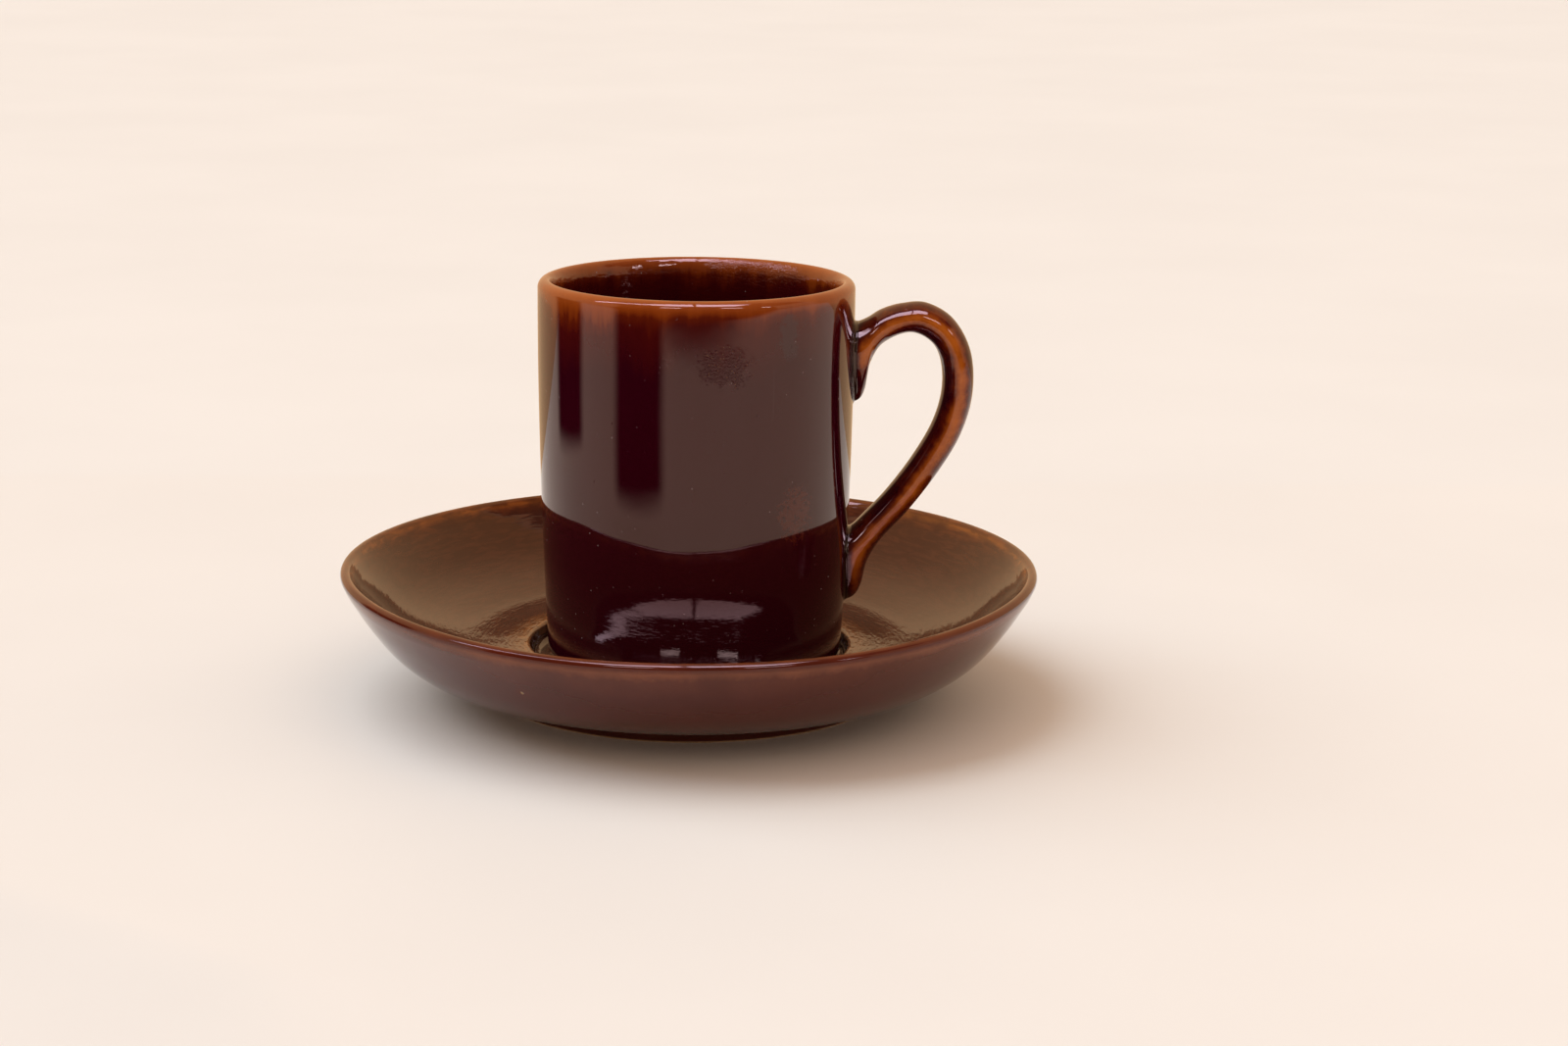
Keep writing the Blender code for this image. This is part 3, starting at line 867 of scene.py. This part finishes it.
# Radiance of what is mirrored, and how much brighter a sheet is where it is mirrored twice
WALL_LIGHT = (0.82, 0.53, 0.29)
BEYOND_LIGHT = (0.07, 0.035, 0.025)
ROOM_LIGHT = (0.10, 0.07, 0.06)
CEILING_LIGHT = (0.10, 0.080, 0.095)
WINDOW_LIGHT = (9.0, 9.2, 12.0)
WINDOW_AGAIN = 2.5
SKYLIGHT_LIGHT = (8.0, 8.0, 12.0)
SKYLIGHT_AGAIN = 3.0
DARK_LIGHT = (0.004, 0.001, 0.001)

WORLD_COLOUR = (0.95, 0.72, 0.54, 1.0)
WORLD_STRENGTH_FRONT, WORLD_STRENGTH_BACK = 0.85, 0.86
SUN_ENERGY = 2.17
SUN_SPREAD = 60.0
SUN_COLOUR = (0.68, 0.88, 1.0)
SUN_WAY = (0.72, -0.35, -1.0)


def make_camera():
    pitch, yaw, roll = (math.radians(a) for a in (CAMERA_PITCH, CAMERA_YAW, CAMERA_ROLL))
    forward = Vector((math.sin(yaw) * math.cos(pitch), math.cos(yaw) * math.cos(pitch), -math.sin(pitch)))
    right = forward.cross(Vector((0, 0, 1))).normalized()
    up = right.cross(forward)
    tilted_right = right * math.cos(roll) + up * math.sin(roll)
    tilted_up = up * math.cos(roll) - right * math.sin(roll)
    data = bpy.data.cameras.new("camera")
    data.lens = FOCAL_LENGTH
    data.sensor_width = 36.0
    data.clip_start = 0.01
    data.clip_end = 50.0
    camera = bpy.data.objects.new("camera", data)
    rotation = Matrix((tilted_right, tilted_up, -forward)).transposed().to_4x4()
    camera.matrix_world = Matrix.Translation(CAMERA_PLACE) @ rotation
    bpy.context.scene.collection.objects.link(camera)
    bpy.context.scene.camera = camera


def plane(name, corners):
    mesh = bpy.data.meshes.new(name)
    mesh.from_pydata(corners, [], [(0, 1, 2, 3)])
    obj = bpy.data.objects.new(name, mesh)
    bpy.context.scene.collection.objects.link(obj)
    return obj


def level_sheet(z, half_width, front, back):
    """Corners of a level sheet."""
    return [(-half_width, front, z), (half_width, front, z), (half_width, back, z), (-half_width, back, z)]


def facing_sheet(y, left, right, low, high):
    """Corners of an upright sheet that faces along Y."""
    return [(left, y, low), (right, y, low), (right, y, high), (left, y, high)]


def make_floor():
    floor = plane("floor", level_sheet(0.0, FLOOR_HALF, -FLOOR_HALF, FLOOR_HALF))
    n = Nodes("floor_paint")
    place = n.place()
    colour = n.ramp(n.noise(place, 110.0, 3.0), ((0.35, (0.81, 0.768, 0.745)), (0.65, (0.83, 0.788, 0.765))))
    bump = n.bump(n.noise(place, 3.0, 2.0), 0.01)
    floor.data.materials.append(n.finish(colour, 0.6, bump))


def card(name, corners, radiance, fade=(0.0, 0.0, 0.0, 0.0), again=1.0):
    """A sheet that shows only in reflections.

    Its corners run round it, and fade is the soft share of the width at its first and last upright edge, and
    of the height at its foot and its top. Where it is mirrored twice, as in the cup by way of the saucer, it
    is again times as bright.
    """
    obj = plane(name, corners)
    for way in ("camera", "diffuse", "shadow", "transmission", "volume_scatter"):
        setattr(obj, "visible_" + way, False)
    layer = obj.data.uv_layers.new(name="sheet")
    for loop, uv in zip(layer.data, ((0, 0), (1, 0), (1, 1), (0, 1))):
        loop.uv = uv
    n = Nodes(name + "_sheet")
    mirrors = n.add("ShaderNodeLightPath").outputs["Glossy Depth"]
    strength = n.span(mirrors, 1.2, 1.8, 1.0, again)
    glow = n.add("ShaderNodeEmission", {"Color": (*radiance, 1.0), "Strength": strength}).outputs[0]
    output = n.tree.nodes["Material Output"].inputs["Surface"]
    n.tree.nodes.remove(n.shader)
    if any(fade):
        u, v = n.split(n.add("ShaderNodeUVMap", uv_map="sheet").outputs[0])[0:2]
        cover = 1.0
        for value, width, flip in ((u, fade[0], 0), (u, fade[1], 1), (v, fade[2], 0), (v, fade[3], 1)):
            if width:
                side = n.span(value, 1 - width, 1.0, 1.0, 0.0) if flip else n.span(value, 0.0, width)
                cover = n.times(cover, side)
        clear = n.add("ShaderNodeBsdfTransparent").outputs[0]
        glow = n.add("ShaderNodeMixShader", {0: cover, 1: clear, 2: glow}).outputs[0]
    n.tree.links.new(glow, output)
    obj.data.materials.append(n.material)


def upright_sheet(centre, width, low, high):
    """Corners of an upright sheet on a spot of the floor, turned to face the cup."""
    away = Vector((centre[0], centre[1], 0.0)).normalized()
    side = Vector((-away.y, away.x, 0.0)) * width / 2
    foot = Vector((centre[0], centre[1], low))
    head = Vector((centre[0], centre[1], high))
    return [foot - side, foot + side, head + side, head - side]


def make_surroundings():
    """What the glaze mirrors: a cream wall close behind, the table's front edge, a dim room with windows and
    a skylight, and two dark things on the table."""
    wall = facing_sheet(WALL_BEHIND, -WALL_HALF_WIDTH, WALL_HALF_WIDTH, 0.0, WALL_HEIGHT)
    card("wall_behind", wall, WALL_LIGHT)
    beyond = level_sheet(ABOVE_TABLE, BEYOND_HALF_WIDTH, ROOM_FRONT, TABLE_FRONT)
    card("beyond_the_table", beyond, BEYOND_LIGHT, (0.0, 0.0, 0.0, TABLE_EDGE_FADE))
    room = facing_sheet(ROOM_FRONT, -ROOM_HALF_WIDTH, ROOM_HALF_WIDTH, 0.0, ROOM_HEIGHT)
    card("room_in_front", room, ROOM_LIGHT)
    card("ceiling", level_sheet(CEILING, ROOM_HALF_WIDTH, ROOM_FRONT, WALL_BEHIND), CEILING_LIGHT)
    for i, (x, width) in enumerate(WINDOWS):
        corners = facing_sheet(ROOM_FRONT + WINDOW_STANDS_IN, x, x + width, WINDOW_LOW, WINDOW_HIGH)
        card("window_%d" % i, corners, WINDOW_LIGHT, again=WINDOW_AGAIN)
    for i, (left, right) in enumerate(zip(SKYLIGHT, SKYLIGHT[1:])):
        low, high, z = left[0] + SKYLIGHT_BAR / 2, right[0] - SKYLIGHT_BAR / 2, SKYLIGHT_HEIGHT
        corners = [(low, left[1], z), (high, right[1], z), (high, right[2], z), (low, left[2], z)]
        card("skylight_%d" % i, corners, SKYLIGHT_LIGHT, again=SKYLIGHT_AGAIN)
    for name, spot, width in DARK_THINGS:
        card(name, upright_sheet(spot, width, 0.0, DARK_THING_HEIGHT), DARK_LIGHT, (0.2, 0.2, 0.1, 0.2))


def make_lights():
    world = bpy.data.worlds.new("studio")
    world.use_nodes = True
    nodes, links = world.node_tree.nodes, world.node_tree.links
    background = nodes["Background"]
    background.inputs["Color"].default_value = WORLD_COLOUR
    towards = nodes.new("ShaderNodeTexCoord").outputs["Generated"]
    split = nodes.new("ShaderNodeSeparateXYZ")
    links.new(towards, split.inputs[0])
    strength = nodes.new("ShaderNodeMapRange")
    ends = {"From Min": -1.0, "From Max": 1.0, "To Min": WORLD_STRENGTH_FRONT, "To Max": WORLD_STRENGTH_BACK}
    for name, value in ends.items():
        strength.inputs[name].default_value = value
    links.new(split.outputs["Y"], strength.inputs["Value"])
    links.new(strength.outputs[0], background.inputs["Strength"])
    bpy.context.scene.world = world
    sun = bpy.data.lights.new("skylight", "SUN")
    sun.energy = SUN_ENERGY
    sun.angle = math.radians(SUN_SPREAD)
    sun.color = SUN_COLOUR
    lamp = bpy.data.objects.new("skylight", sun)
    lamp.visible_glossy = False
    lamp.rotation_euler = Vector(SUN_WAY).to_track_quat("-Z", "Y").to_euler()
    bpy.context.scene.collection.objects.link(lamp)


build_pieces()
make_camera()
make_floor()
make_surroundings()
make_lights()
bpy.context.scene.view_settings.view_transform = "Standard"
